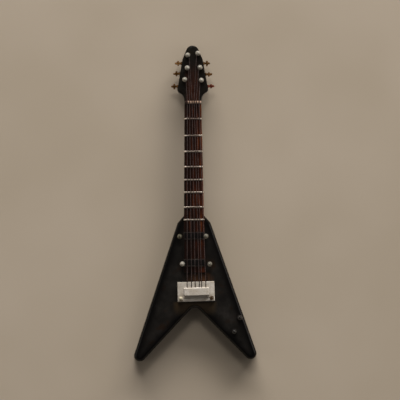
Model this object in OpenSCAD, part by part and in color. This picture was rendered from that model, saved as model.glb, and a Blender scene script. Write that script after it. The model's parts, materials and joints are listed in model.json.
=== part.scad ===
// Toy electric guitar, about as long as a hand is wide: a V-shaped lacquered body, a set
// neck with an arrow-shaped headstock, ball-headed pins as posts and screws, brass keys
// that turn in the headstock, two knobs that turn in the right wing, and six thin strings.
// It lies on its back, +Z up, headstock towards +Y, origin under the middle of its length.

/* [Overall] */
// Length of the body along the neck's line
body_l = 46.4; // [38:0.1:56]
// Free length of the neck, from the body to the middle of the nut
neck_l = 36; // [30:0.5:44]
// Length of the headstock, from the middle of the nut to its tip
head_l = 18.4; // [15:0.1:22]
// Width across the two wing tips
wing_span = 39.1; // [32:0.1:48]
// Thickness of the body
body_t = 5; // [4:0.1:6.5]

/* [Body] */
// Radius of the round wing tips
tip_r = 1.9; // [1.5:0.1:2.4]
// How much shorter the right wing is than the left
wing_short = 0.4; // [0:0.1:1]
// Radius of the round bottom of the notch between the wings
crotch_r = 1.9; // [1.5:0.1:2.4]
// Wood left between the bridge plate and the notch
crotch_wood = 2; // [1.6:0.1:2.6]
// Half the spacing of the rounded shoulders' centres
shoulder_x = 3.85; // [3.2:0.05:4.7]
// How far the shoulders' centres lie behind the body's neck end
shoulder_y = 3.15; // [2.6:0.05:3.8]
// Radius of the rounded shoulders
shoulder_r = 1.6; // [1.3:0.1:2]
// Rounding of the body's upper edge
top_round = 1.1; // [0.9:0.1:1.3]
// Rounding of the body's lower edge
back_round = 0.6; // [0.4:0.1:0.8]

/* [Neck] */
// Width of the neck and fretboard at the nut
nut_w = 5.3; // [4.4:0.1:6.4]
// Width of the fretboard at its free end on the body
board_end_w = 6.9; // [5.7:0.1:8.3]
// Thickness of the fretboard
board_t = 0.8; // [0.6:0.05:1]
// Depth of the neck under the fretboard, at the nut
neck_depth = 3; // [2.5:0.1:3.6]
// How much the neck's round back is wider than the neck, to each side
back_spare = 0.2; // [0.1:0.05:0.4]
// Width of the tenon that sits in the body's pocket
tenon_w = 4.4; // [3.6:0.1:5.3]
// Length of the tenon
tenon_l = 8; // [6.5:0.5:9.5]
// Depth of the tenon
tenon_t = 2.8; // [2.3:0.1:3.4]
// Height of a fret's crown above the fretboard
fret_h = 0.25; // [0.2:0.01:0.3]
// Width of a fret's crown
fret_w = 0.55; // [0.45:0.01:0.66]
// Thickness of the tang under a fret's crown
tang_t = 0.2; // [0.15:0.01:0.25]
// Depth of the tang in the fretboard
tang_h = 0.35; // [0.25:0.01:0.45]
// How far a fret stands out past the fretboard's side
fret_over = 0.1; // [0:0.01:0.15]
// Thickness of the nut along the neck
nut_t = 0.9; // [0.75:0.05:1.1]
// Wood of the nut above the strings
nut_lip = 0.2; // [0.1:0.05:0.3]

/* [Headstock] */
// Thickness of the headstock
head_t = 2.5; // [2.1:0.1:3]
// Backward tilt of the headstock, in degrees
head_tilt = 5.5; // [4:0.5:6.5]
// Greatest width of the headstock, across its lower corners
head_w = 9.8; // [8.1:0.1:11.8]
// Distance of the lower corners' centres from the nut
flare_at = 4.3; // [3.8:0.1:5.2]
// Radius of the lower corners
flare_r = 1.05; // [0.9:0.05:1.3]
// Radius of the hollow between the neck and a lower corner
throat_r = 2; // [1.6:0.1:2.4]
// Width of the headstock at its upper shoulders
crown_w = 6.5; // [5.8:0.1:7.4]
// Distance of the upper shoulders' centres from the tip
crown_at = 4.7; // [4:0.1:5.6]
// Radius of the upper shoulders
crown_r = 1.3; // [1.1:0.05:1.5]
// Radius of the headstock's tip
apex_r = 2.1; // [1.8:0.05:2.5]
// Rounding of the headstock's edges
head_round = 0.45; // [0.35:0.05:0.55]

/* [Strings] */
// Thickness of a string
string_d = 0.2; // [0.16:0.01:0.24]
// Gap under the strings at the frets, the pickups and the pins
string_gap = 0.05; // [0.03:0.01:0.08]
// Turns of a string round its post
wraps = 1.5; // [1:0.25:2]

/* [Pins] */
// Diameter of the ball head of a post or a pickup pin
ball_d = 1.6; // [1.3:0.05:1.95]
// Diameter of a pin's shank
pin_d = 0.6; // [0.5:0.05:0.75]
// Depth of a pin in the wood
pin_depth = 1.7; // [1.4:0.1:2]
// Glue gap round a fixed pin and round the tenon
glue_gap = 0.02; // [0.01:0.01:0.04]

/* [Keys] */
// Diameter of a key's shank
key_d = 0.7; // [0.58:0.02:0.84]
// Depth of a key's bore in the headstock
key_depth = 2; // [1.7:0.1:2.3]
// Diameter of the collar outside the headstock
key_collar_d = 1.15; // [1:0.05:1.35]
// Thickness of the collar
key_collar_t = 0.3; // [0.25:0.05:0.4]
// Width of a key's three-lobed button
key_w = 1.9; // [1.5:0.1:2.3]
// Length of the button, from the collar to its tip
key_l = 1.9; // [1.55:0.05:2.3]
// Thickness of the button
key_t = 0.55; // [0.45:0.05:0.7]
// Running gap round a turning shank and beside a turning collar or knob
run_gap = 0.05; // [0.03:0.01:0.08]

/* [Pickups] */
// Width of a pickup across the strings
pickup_w = 6.2; // [5.2:0.1:7.4]
// Length of a pickup along the strings
pickup_l = 1.9; // [1.6:0.1:2.3]
// Width of the thin metal rim round a pickup
rim_w = 0.22; // [0.18:0.01:0.26]
// How far the rim lies below the pickup's top
rim_drop = 0.12; // [0.05:0.01:0.15]
// Distance of the neck pickup from the body's neck end
pickup_at = 6.4; // [5.3:0.1:7.7]
// Spacing of the two pickups
pickup_pitch = 8.6; // [7.2:0.1:10.3]
// Fretboard left behind the bridge pickup
board_tail = 2.3; // [1.9:0.1:2.8]

/* [Bridge] */
// Width of the white bridge plate
plate_w = 11.8; // [9.8:0.1:14.2]
// Length of the bridge plate
plate_l = 6.3; // [5.2:0.1:7.6]
// Thickness of the bridge plate
plate_t = 0.8; // [0.65:0.05:1]
// Shift of the bridge plate to the right of the middle
plate_x = 0.45; // [0:0.05:0.7]
// Turn of the bridge plate, in degrees
plate_turn = 1.2; // [0:0.2:2]
// Body left between the fretboard's end and the bridge plate
bridge_space = 2.8; // [2.3:0.1:3.4]
// Width of the raised bar that holds the strings
bar_w = 8.1; // [6.8:0.1:9.7]
// Length of the bar
bar_l = 2.6; // [2.2:0.1:3.1]
// Height of the bar above the plate
bar_h = 1.2; // [1.1:0.05:1.4]
// Height of the strings above the plate, at the bar
slot_z = 0.6; // [0.5:0.02:0.72]
// Depth of the slot in the bar's front
slot_depth = 0.8; // [0.6:0.05:1]
// Wood left beside the slot, at each end of the bar
slot_wall = 0.5; // [0.4:0.05:0.6]
// Diameter of the ball head of a bridge pin
bridge_ball_d = 1.4; // [1.2:0.05:1.7]
// Distance of a bridge pin from the plate's side
bridge_pin_side = 1; // [0.9:0.05:1.3]
// Distance of a bridge pin from the plate's rear edge
bridge_pin_rear = 1.05; // [0.9:0.05:1.3]

/* [Knobs] */
// Diameter of a control knob
knob_d = 1.9; // [1.6:0.05:2.3]
// Height of the knob's straight skirt
skirt_h = 0.3; // [0.2:0.05:0.4]
// Diameter of a knob's shank
knob_shank_d = 0.7; // [0.58:0.02:0.84]
// Depth of a knob's bore in the body
knob_depth = 1.7; // [1.4:0.1:2.1]

/* [Hidden] */
// Facets of the round shapes
$fn = 48;
// A cut runs this far past the face that it opens
past = 1;

// Frets as shares of the neck's free length, set by hand and closer towards the body
fret_shares = [0.144, 0.292, 0.433, 0.569, 0.683, 0.794, 0.925, 1.036];
// Where each string crosses the nut, as a share of half the nut's width
nut_shares = [-0.67, -0.4, -0.1, 0.16, 0.41, 0.74];
// Where each string enters the bar, as a share of half the bar's width
bar_shares = [-0.73, -0.38, -0.09, 0.23, 0.42, 0.745];
// Posts and keys as shares of the headstock's length, with a post's distance from the edge.
// The first three are on the left, from the nut to the tip; the rest are on the right.
posts = [[0.39, 1.9], [0.593, 2.05], [0.818, 1.3], [0.376, 1.7], [0.599, 1.35], [0.847, 0.85]];
key_shares = [0.292, 0.516, 0.697, 0.292, 0.5, 0.692];
// How far each key is turned, in degrees
key_turns = [24, 48, -28, 62, -40, 8];
// Post that each string is wound on, counted as in posts
string_posts = [0, 1, 2, 5, 4, 3];
// Pickup pins: pickup, side, distance of the shank from the board or outer string, and
// how far it stands behind the pickup's middle
pickup_pins = [[0, -1, 1, 0.2], [0, 1, 0.2, 0.2], [1, -1, 0.15, 0.35], [1, 1, 1.1, 0.45]];
// Knobs: distance from the wing tip's centre along the outer edge, and from that edge
knobs = [[11.9, 1.4], [8.3, 4.5]];
// The bridge bar's middle is this far to the right of the plate's
bar_x = 0.15;
// Spare wood beside the tenon, out to the body's rounded neck corners
corner_spare = 0.4;
// Rounding of the headstock's root, which is this much wider than the neck, to each side
root_r = 0.5;
root_spare = 0.2;
// Distance of the hollows' centres from the nut
throat_y = 1.3;
// A knob's dome is this much narrower than its skirt
dome_step = 0.1;
// A key's button in shares of its width: each disc's distance from the tip, distance from
// the middle, and radius, which is negative in the hollows between the lobes
button_shares = [[0.79, 0.274, -0.095], [0.55, 0.36, 0.14], [0.285, 0.29, -0.115]];

// Places along the neck's line; the tilt draws the headstock's tip in a little
head_reach = head_l * cos(head_tilt) - head_round * sin(head_tilt);
tail_y = -(body_l + neck_l + head_reach) / 2;
body_y = tail_y + body_l;
nut_y = body_y + neck_l;
pickup_ys = [body_y - pickup_at, body_y - pickup_at - pickup_pitch];
board_end_y = pickup_ys[1] - pickup_l / 2 - board_tail;
plate_y = board_end_y - bridge_space - plate_l / 2;
crotch_y = plate_y - plate_l / 2 - crotch_wood;
bar_front = bar_l / 2;

// Heights: the neck is flush with the body's top
top_z = body_t;
board_z = top_z + board_t;
nut_string_z = board_z + fret_h + string_gap + string_d / 2;
bar_string_z = top_z + plate_t + slot_z;

// The body's outline is a belt round these discs, anticlockwise: x, y, radius, steps.
// A negative radius makes a hollow. The notch has as many steps as the edge across from it,
// so that each point can be joined to one across the wood.
tip_steps = 14;
shoulder_steps = 4;
corner_steps = 5;
crotch_steps = 2 * (shoulder_steps + corner_steps) + 3;
corner_x = tenon_w / 2 + corner_spare;
corner_r = top_round + corner_spare / 2;
body_discs = [
    [wing_span / 2 - tip_r, tail_y + tip_r + wing_short, tip_r, tip_steps],
    [shoulder_x, body_y - shoulder_y, shoulder_r, shoulder_steps],
    [corner_x, body_y - corner_r, corner_r, corner_steps],
    [-corner_x, body_y - corner_r, corner_r, corner_steps],
    [-shoulder_x, body_y - shoulder_y, shoulder_r, shoulder_steps],
    [tip_r - wing_span / 2, tail_y + tip_r, tip_r, tip_steps],
    [0, crotch_y - crotch_r, -crotch_r, crotch_steps]
];

// The headstock's outline, on its own face, with the nut at y = 0. It mirrors itself, and its
// tip has an odd number of steps, so that each point can be joined to its mirror image.
head_discs = [
    [nut_w / 2 - root_r, root_r, root_r, 3],
    [nut_w / 2 + root_spare + throat_r, throat_y, -throat_r, 5],
    [head_w / 2 - flare_r, flare_at, flare_r, 8],
    [crown_w / 2 - crown_r, head_l - crown_at, crown_r, 4],
    [0, head_l - apex_r, apex_r, 13],
    [crown_r - crown_w / 2, head_l - crown_at, crown_r, 4],
    [flare_r - head_w / 2, flare_at, flare_r, 8],
    [-nut_w / 2 - root_spare - throat_r, throat_y, -throat_r, 5],
    [root_r - nut_w / 2, root_r, root_r, 3]
];

// Direction of the belt from one disc to the next
function heading(a, b) = atan2(b.y - a.y, b.x - a.x) - asin((b.z - a.z) / norm([b.x - a.x, b.y - a.y]));

// Points of the belt round one disc, drawn in by inset
function belt_arc(before, disc, after, inset) =
    let (
        start = heading(before, disc),
        turn = (heading(disc, after) - start + 900) % 360 - 180,
        r = disc.z - inset,
        steps = disc[3]
    )
    [for (i = [0 : steps]) let (a = start + turn * i / steps) [disc.x + r * sin(a), disc.y - r * cos(a)]];

// The closed belt round a list of discs
function belt(discs, inset = 0) =
    let (n = len(discs))
    [for (i = [0 : n - 1]) each belt_arc(discs[(i + n - 1) % n], discs[i], discs[(i + 1) % n], inset)];

// Half the headstock's width at a distance from the nut
function head_edge(y) =
    let (arcs = [for (i = [1 : 4]) belt_arc(head_discs[i - 1], head_discs[i], head_discs[i + 1], 0)])
    lookup(y, [for (arc = arcs, p = arc) [p.y, p.x]]);

// Half the fretboard's width at y
function board_half(y) = lookup(y, [[board_end_y, board_end_w / 2], [nut_y, nut_w / 2]]);

// A point of the bridge plate's face, in the whole guitar's frame
function on_plate(x, y) = [
    plate_x + x * cos(plate_turn) - y * sin(plate_turn),
    plate_y + x * sin(plate_turn) + y * cos(plate_turn)
];

// The end of string i, inside the bar's slot
function string_end(i) =
    let (p = on_plate(bar_x + bar_shares[i] * bar_w / 2, bar_front - slot_depth / 2))
    [p.x, p.y, bar_string_z];

// Where string i crosses the nut
function string_start(i) = [nut_shares[i] * nut_w / 2, nut_y, nut_string_z];

// The point of string i at y
function string_at(i, y) =
    let (a = string_end(i), b = string_start(i))
    a + (b - a) * (y - a.y) / (b.y - a.y);

// A point of the headstock's frame, in the whole guitar's frame
function from_head(p) = [
    p.x,
    nut_y + p.y * cos(head_tilt) + p.z * sin(head_tilt),
    top_z - p.y * sin(head_tilt) + p.z * cos(head_tilt)
];

// Centre of post i on the headstock's face, and of key i at the headstock's edge
function post_side(i) = i < 3 ? -1 : 1;
function post_at(i) =
    let (y = posts[i][0] * head_l)
    [post_side(i) * (head_edge(y) - posts[i][1]), y, 0];
function key_y(i) = key_shares[i] * head_l;

// The winding of a string round its post, from its upper end down
wrap_pitch = string_d + string_gap;
wrap_top = wrap_pitch * wraps + string_d / 2 + string_gap;
wrap_r = (pin_d + string_d) / 2 + glue_gap;
post_ball_z = wrap_top + string_d / 2 + string_gap + ball_d / 2;

// Path of string i: bar, nut, then round its post from the side that faces the middle
function string_path(i) =
    let (
        post = post_at(string_posts[i]),
        side = post_side(string_posts[i]),
        steps = ceil(16 * wraps)
    )
    [
        string_end(i),
        string_at(i, nut_y - nut_t / 2),
        from_head([string_start(i).x, nut_t / 2 + string_d, nut_string_z - top_z - string_gap]),
        for (k = [0 : steps])
            let (a = 360 * wraps * k / steps)
            from_head([
                post.x - side * wrap_r * cos(a),
                post.y + wrap_r * sin(a),
                wrap_top - wrap_pitch * wraps * k / steps
            ])
    ];

// A thin round bar along a path that is never upright
module bar_along(path, d) {
    sides = 8;
    last = len(path) - 1;
    rings = [
        for (i = [0 : last])
            let (
                step = path[min(i + 1, last)] - path[max(i - 1, 0)],
                along = step / norm(step),
                across = cross(along, [0, 0, 1]) / norm(cross(along, [0, 0, 1])),
                up = cross(across, along)
            )
            for (k = [0 : sides - 1])
                path[i] + d / 2 * (cos(360 * k / sides) * across + sin(360 * k / sides) * up)
    ];
    walls = [
        for (i = [0 : last - 1], k = [0 : sides - 1])
            let (next = (k + 1) % sides)
            [i * sides + k, i * sides + next, (i + 1) * sides + next, (i + 1) * sides + k]
    ];
    start = [for (k = [sides - 1 : -1 : 0]) k];
    end = [for (k = [0 : sides - 1]) last * sides + k];
    polyhedron(rings, concat([start], walls, [end]));
}

// A board with the belt's outline between two heights, with both edges rounded. Its flat
// faces are strips that join each point to the one across, counted both ways from first.
module rounded_board(discs, low_z, high_z, low_r, high_r, steps, first) {
    levels = [
        for (i = [0 : steps])
            let (a = 90 * i / steps)
            [low_r * (1 - sin(a)), low_z + low_r * (1 - cos(a))],
        for (i = [0 : steps])
            let (a = 90 * i / steps)
            [high_r * (1 - cos(a)), high_z - high_r * (1 - sin(a))]
    ];
    n = len(belt(discs));
    top = n * (len(levels) - 1);
    points = [for (level = levels, p = belt(discs, level[0])) [p.x, p.y, level[1]]];
    walls = [
        for (j = [0 : len(levels) - 2], k = [0 : n - 1])
            let (next = (k + 1) % n)
            [j * n + k, (j + 1) * n + k, (j + 1) * n + next, j * n + next]
    ];
    strips = [
        for (j = [0 : n / 2 - 2])
            let (
                a = (first + j) % n,
                b = (a + 1) % n,
                d = (first + n - 1 - j) % n,
                c = (d + n - 1) % n
            )
            each [[a, b, c], [a, c, d]]
    ];
    top_strips = [for (t = strips) [top + t[2], top + t[1], top + t[0]]];
    polyhedron(points, concat(strips, walls, top_strips));
}

// Places its children in the headstock's frame, with the nut at the origin
module on_head() {
    translate([0, nut_y, top_z])
    rotate([-head_tilt, 0, 0])
        children();
}

// Places its children on the bridge plate's middle, at the body's top
module at_plate() {
    translate([plate_x, plate_y, top_z])
    rotate([0, 0, plate_turn])
        children();
}

// Places of the four pickup pins on the body's top
function pickup_pin_at(i) =
    let (
        y = pickup_ys[pickup_pins[i][0]] - pickup_pins[i][3],
        side = pickup_pins[i][1],
        wire = side < 0 ? -string_at(0, y).x : string_at(5, y).x,
        clear = max(board_half(y), wire + string_d / 2)
    )
    [side * (clear + pickup_pins[i][2] + pin_d / 2), y, top_z];

// Places of the two bridge pins on the plate, left and right
function bridge_pin_at(i) = [
    (i == 0 ? -1 : 1) * (plate_w / 2 - bridge_pin_side),
    bridge_pin_rear - plate_l / 2
];

// Places of the two knobs, counted from the right wing's tip along its outer edge
function knob_at(i) =
    let (tip = body_discs[0], a = heading(tip, body_discs[1]), inset = knobs[i][1] - tip_r)
    [
        tip.x + knobs[i][0] * cos(a) - inset * sin(a),
        tip.y + knobs[i][0] * sin(a) + inset * cos(a),
        top_z
    ];

// A ball-headed pin that stands on the origin: lift is the ball's centre
module ball_pin(d, lift, depth) {
    sphere(d = d);
    translate([0, 0, -lift - depth])
        cylinder(h = lift + depth, d = pin_d);
}

// The hole that a fixed pin is glued into, from z = 0 down
module pin_hole(depth) {
    translate([0, 0, -depth - glue_gap])
        cylinder(h = depth + glue_gap + past, d = pin_d + 2 * glue_gap);
}

// Body: one slab with a notch between its wings, a pocket for the tenon and pin holes
module body() {
    color([0.09, 0.08, 0.08])
    difference() {
        rounded_board(body_discs, 0, top_z, back_round, top_round, 5, tip_steps / 2);
        translate([-tenon_w / 2 - glue_gap, body_y - tenon_l - glue_gap, top_z - tenon_t - glue_gap])
            cube([tenon_w + 2 * glue_gap, tenon_l + glue_gap + past, tenon_t + glue_gap + past]);
        for (i = [0 : len(pickup_pins) - 1])
            translate(pickup_pin_at(i))
                pin_hole(pin_depth);
        for (i = [0 : 1])
            at_plate()
                translate(bridge_pin_at(i))
                    pin_hole(pin_depth);
        for (i = [0 : len(knobs) - 1])
            translate(knob_at(i) - [0, 0, knob_depth])
                cylinder(h = knob_depth + past, d = knob_shank_d + 2 * run_gap);
    }
}

// Neck: a D-shaped shaft, a tenon and the tilted headstock, all one piece of wood
module neck() {
    shaft_end = nut_y + nut_t / 2;
    back_r = nut_w / 2 + back_spare;
    heel_r = board_half(body_y) + back_spare;
    color([0.1, 0.07, 0.06])
    difference() {
        union() {
            intersection() {
                linear_extrude(height = top_z)
                    polygon([
                        [-board_half(body_y), body_y],
                        [board_half(body_y), body_y],
                        [nut_w / 2, shaft_end],
                        [-nut_w / 2, shaft_end]
                    ]);
                translate([0, shaft_end, top_z - neck_depth + back_r])
                rotate([90, 0, 0])
                    union() {
                        cylinder(h = neck_l + nut_t / 2, r1 = back_r, r2 = heel_r);
                        translate([-head_w, 0, 0])
                            cube([2 * head_w, neck_depth, neck_l + nut_t / 2]);
                    }
            }
            translate([-tenon_w / 2, body_y - tenon_l, top_z - tenon_t])
                cube([tenon_w, tenon_l + past, tenon_t]);
            on_head()
                rounded_board(head_discs, -head_t, 0, head_round, head_round, 3, 0);
        }
        for (i = [0 : len(posts) - 1])
            on_head()
                translate(post_at(i))
                    pin_hole(pin_depth);
        for (i = [0 : len(key_shares) - 1])
            on_head()
                translate([post_side(i) * (head_edge(key_y(i)) - key_depth), key_y(i), -head_t / 2])
                rotate([0, post_side(i) * 90, 0])
                    cylinder(h = key_depth + past, d = key_d + 2 * run_gap);
    }
}

// Fretboard: a thin tapered strip on the neck that runs on over the body
module fretboard() {
    color([0.16, 0.09, 0.07])
    difference() {
        translate([0, 0, top_z])
        linear_extrude(height = board_t)
            polygon([
                [-board_end_w / 2, board_end_y],
                [board_end_w / 2, board_end_y],
                [nut_w / 2, nut_y - nut_t / 2],
                [-nut_w / 2, nut_y - nut_t / 2]
            ]);
        for (i = [0 : len(fret_shares) - 1])
            translate([-head_w / 2, fret_y(i) - tang_t / 2, board_z - tang_h])
                cube([head_w, tang_t, tang_h + past]);
    }
}

function fret_y(i) = nut_y - fret_shares[i] * neck_l;

// Fret: a low round crown with a tang in the fretboard's slot
module fret(i) {
    half = board_half(fret_y(i));
    crown_r = (fret_w * fret_w / 4 + fret_h * fret_h) / (2 * fret_h);
    color([0.82, 0.81, 0.78])
    translate([0, fret_y(i), board_z])
        union() {
            intersection() {
                translate([-half - fret_over, 0, fret_h - crown_r])
                rotate([0, 90, 0])
                    cylinder(h = 2 * (half + fret_over), r = crown_r);
                translate([-half - past, -fret_w, 0])
                    cube([2 * (half + past), 2 * fret_w, fret_h + past]);
            }
            translate([-half, -tang_t / 2, -tang_h])
                cube([2 * half, tang_t, tang_h + fret_h / 2]);
        }
}

// Nut: a pale block with a groove for each string
module nut() {
    height = nut_string_z + string_d / 2 + nut_lip - top_z;
    groove = string_d + 3 * string_gap;
    color([0.8, 0.78, 0.72])
    difference() {
        translate([-nut_w / 2, nut_y - nut_t / 2, top_z])
            cube([nut_w, nut_t, height]);
        for (i = [0 : len(nut_shares) - 1])
            translate([string_start(i).x - groove / 2, nut_y - nut_t, nut_string_z - string_gap - groove / 2])
                cube([groove, 2 * nut_t, groove + nut_lip + past]);
    }
}

// String: straight from the bar's slot to the nut, then wound on its post
module guitar_string(i) {
    color([0.55, 0.45, 0.36])
        bar_along(string_path(i), string_d);
}

// Tuning post: a ball-headed pin that stands in the headstock's face
module tuning_post(i) {
    color([0.86, 0.86, 0.84])
    on_head()
        translate(post_at(i) + [0, 0, post_ball_z])
            ball_pin(ball_d, post_ball_z, pin_depth);
}

// Outline of a key's button: a narrow stem, two side lobes and a lobe at the tip
function button_discs() =
    let (
        low = [for (b = button_shares) [key_l - b.x * key_w, -b.y * key_w, b.z * key_w, 5]],
        tip = button_shares[1].z * key_w,
        stem = key_d * 0.35
    )
    [
        [-key_collar_t / 2, -stem, 0.05, 2],
        each low,
        [key_l - tip, 0, tip, 8],
        for (i = [2 : -1 : 0]) [low[i].x, -low[i].y, low[i].z, 5],
        [-key_collar_t / 2, stem, 0.05, 2]
    ];

// Tuning key: shank, collar and lobed button, which turns in the headstock's side
module tuning_key(i) {
    side = post_side(i);
    y = key_y(i);
    edge = max(head_edge(y - key_collar_d / 2), head_edge(y + key_collar_d / 2)) + run_gap;
    bore_end = head_edge(y) - key_depth;
    shank = edge - bore_end - run_gap;
    color(i == 3 ? [0.66, 0.4, 0.3] : [0.68, 0.56, 0.34])
    on_head()
        translate([side * edge, y, -head_t / 2])
        rotate([side * key_turns[i], 0, side < 0 ? 180 : 0])
            union() {
                translate([-shank, 0, 0])
                rotate([0, 90, 0])
                    cylinder(h = shank + key_collar_t / 2, d = key_d);
                rotate([0, 90, 0])
                    cylinder(h = key_collar_t, d = key_collar_d);
                translate([key_collar_t, 0, -key_t / 2])
                linear_extrude(height = key_t)
                    polygon(belt(button_discs()));
            }
}

// Top of a pickup, just under the lowest string that crosses it
function pickup_top(y) = string_at(0, y + pickup_l / 2).z - string_d / 2 - string_gap;

// Pickup: a flat black block on the fretboard
module pickup(y) {
    color([0.06, 0.05, 0.05])
    translate([-pickup_w / 2, y - pickup_l / 2, board_z])
        cube([pickup_w, pickup_l, pickup_top(y) - board_z]);
}

// Thin metal rim round a pickup
module pickup_rim(y) {
    inner = [pickup_w + 2 * glue_gap, pickup_l + 2 * glue_gap];
    outer = inner + 2 * [rim_w, rim_w];
    color([0.62, 0.61, 0.58])
    translate([0, y, board_z])
    linear_extrude(height = pickup_top(y) - rim_drop - board_z)
    difference() {
        square(outer, center = true);
        square(inner, center = true);
    }
}

// Pickup pin: its ball clears the strings
module pickup_pin(i) {
    place = pickup_pin_at(i);
    lift = string_at(0, place.y).z + string_d / 2 + string_gap + ball_d / 2 - top_z;
    color([0.86, 0.86, 0.84])
    translate(place + [0, 0, lift])
        ball_pin(ball_d, lift, pin_depth);
}

// Bridge plate: a white slab on the body, drilled for its two pins
module bridge_plate() {
    color([0.85, 0.82, 0.76])
    at_plate()
    difference() {
        translate([-plate_w / 2, -plate_l / 2, 0])
            cube([plate_w, plate_l, plate_t]);
        for (i = [0 : 1])
            translate(bridge_pin_at(i))
                pin_hole(past);
    }
}

// Bridge bar: raised on the plate, with a slot in its front for the strings' ends
module bridge_bar() {
    slot_h = string_d + 2 * string_gap;
    color([0.87, 0.84, 0.78])
    at_plate()
    difference() {
        translate([bar_x - bar_w / 2, bar_front - bar_l, plate_t])
            cube([bar_w, bar_l, bar_h]);
        translate([bar_x - bar_w / 2 + slot_wall, bar_front - slot_depth, plate_t + slot_z - slot_h / 2])
            cube([bar_w - 2 * slot_wall, slot_depth + past, slot_h]);
    }
}

// Bridge pin: a ball head low on the plate
module bridge_pin(i) {
    lift = plate_t + glue_gap + bridge_ball_d / 2;
    color(i == 0 ? [0.88, 0.86, 0.8] : [0.36, 0.28, 0.22])
    at_plate()
        translate(concat(bridge_pin_at(i), [lift]))
            ball_pin(bridge_ball_d, lift, pin_depth);
}

// Control knob: a black dome on a short skirt, whose shank turns in the body
module control_knob(i) {
    color([0.05, 0.05, 0.05])
    translate(knob_at(i) + [0, 0, run_gap])
        union() {
            translate([0, 0, -knob_depth])
                cylinder(h = knob_depth + skirt_h / 2, d = knob_shank_d);
            cylinder(h = skirt_h, d = knob_d);
            intersection() {
                translate([0, 0, skirt_h])
                    sphere(d = knob_d - dome_step);
                translate([-knob_d, -knob_d, skirt_h / 2])
                    cube(2 * knob_d);
            }
        }
}

body();
neck();
fretboard();
nut();
for (i = [1 : len(fret_shares)])
    fret(i - 1);
for (i = [1 : len(nut_shares)])
    guitar_string(i - 1);
for (i = [1 : len(posts)])
    tuning_post(i - 1);
for (i = [1 : len(key_shares)])
    tuning_key(i - 1);
pickup(pickup_ys[0]);  // neck_pickup
pickup_rim(pickup_ys[0]);  // neck_pickup_rim
pickup(pickup_ys[1]);  // bridge_pickup
pickup_rim(pickup_ys[1]);  // bridge_pickup_rim
for (i = [1 : len(pickup_pins)])
    pickup_pin(i - 1);
bridge_plate();
bridge_bar();
for (i = [1 : 2])
    bridge_pin(i - 1);
for (i = [1 : len(knobs)])
    control_knob(i - 1);
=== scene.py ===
import json
from math import asin, atan2, ceil, cos, degrees, dist, hypot, pi, radians, remainder, sin, sqrt, tau

import bmesh
import bpy
import numpy as np
from mathutils import Euler, Matrix, Vector, geometry, noise


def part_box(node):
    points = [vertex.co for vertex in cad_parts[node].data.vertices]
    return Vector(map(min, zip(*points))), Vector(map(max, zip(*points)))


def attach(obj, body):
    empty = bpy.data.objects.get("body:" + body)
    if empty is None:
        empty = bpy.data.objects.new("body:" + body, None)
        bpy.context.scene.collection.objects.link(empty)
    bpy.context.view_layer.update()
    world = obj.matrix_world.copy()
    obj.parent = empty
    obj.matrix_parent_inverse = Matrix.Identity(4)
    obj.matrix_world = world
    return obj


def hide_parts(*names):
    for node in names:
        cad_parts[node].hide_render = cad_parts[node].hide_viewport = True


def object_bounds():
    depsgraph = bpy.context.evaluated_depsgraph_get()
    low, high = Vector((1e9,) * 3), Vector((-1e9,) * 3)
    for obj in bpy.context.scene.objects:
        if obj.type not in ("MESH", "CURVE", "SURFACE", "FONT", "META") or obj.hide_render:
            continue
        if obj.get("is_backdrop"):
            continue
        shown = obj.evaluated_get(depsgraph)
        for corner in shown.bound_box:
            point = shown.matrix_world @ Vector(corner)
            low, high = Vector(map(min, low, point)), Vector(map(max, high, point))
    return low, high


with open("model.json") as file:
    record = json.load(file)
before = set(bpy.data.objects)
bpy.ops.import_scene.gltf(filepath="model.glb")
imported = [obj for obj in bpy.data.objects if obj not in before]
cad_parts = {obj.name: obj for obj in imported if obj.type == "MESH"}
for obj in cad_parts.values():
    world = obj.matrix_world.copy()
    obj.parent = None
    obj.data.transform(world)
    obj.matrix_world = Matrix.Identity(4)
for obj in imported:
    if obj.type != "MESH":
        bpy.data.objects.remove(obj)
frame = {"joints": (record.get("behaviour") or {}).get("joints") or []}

# Toy electric guitar on a plain floor. Meshes are made in millimetres in the frame's own coordinates, and
# turned into metres when a piece is finished.
MM = 0.001
CAD_LOW, CAD_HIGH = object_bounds()
JOINTS = {j["name"]: j for j in frame["joints"]}


def box(name):
    """Lowest and highest corner of a CAD node, in millimetres."""
    low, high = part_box(name)
    return low / MM, high / MM


# ---- places from the frame

BODY_LOW, BODY_HIGH = box("body")
NUT_LOW, NUT_HIGH = box("nut")
BOARD_LOW, BOARD_HIGH = box("fretboard")
TAIL_Y, BODY_Y, TOP_Z = BODY_LOW.y, BODY_HIGH.y, BODY_HIGH.z
SPAN = BODY_HIGH.x - BODY_LOW.x
NUT_Y, NUT_W, NUT_T = (NUT_LOW.y + NUT_HIGH.y) / 2, NUT_HIGH.x - NUT_LOW.x, NUT_HIGH.y - NUT_LOW.y
BOARD_END_Y, BOARD_END_W, BOARD_Z = BOARD_LOW.y, BOARD_HIGH.x - BOARD_LOW.x, BOARD_HIGH.z
PLATE_LOW, PLATE_HIGH = box("bridge_plate")
PLATE_MID = (PLATE_LOW + PLATE_HIGH) / 2
PLATE_T = PLATE_HIGH.z - PLATE_LOW.z
PLATE_W, PLATE_L, PLATE_TURN = 11.8, 6.3, radians(1.2)
BAR_W, BAR_L, BAR_X, BAR_FRONT, BAR_H = 8.1, 2.6, 0.15, 1.3, 1.2
SLOT_DEPTH, SLOT_Z = 0.8, 0.6
PLATE_FRONT = PLATE_MID.y + PLATE_L / 2
CROTCH_Y = PLATE_MID.y - PLATE_L / 2 - 2.0
NECK_DEPTH, BACK_SPARE = 3.0, 0.2
TENON_W, TENON_L, TENON_T = 4.4, 8.0, 2.8
HEAD_T, HEAD_L, HEAD_W, HEAD_TILT = 2.5, 18.4, 9.8, radians(5.5)
STRING_D, STRING_GAP, WRAPS = 0.2, 0.05, 1.5
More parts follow.
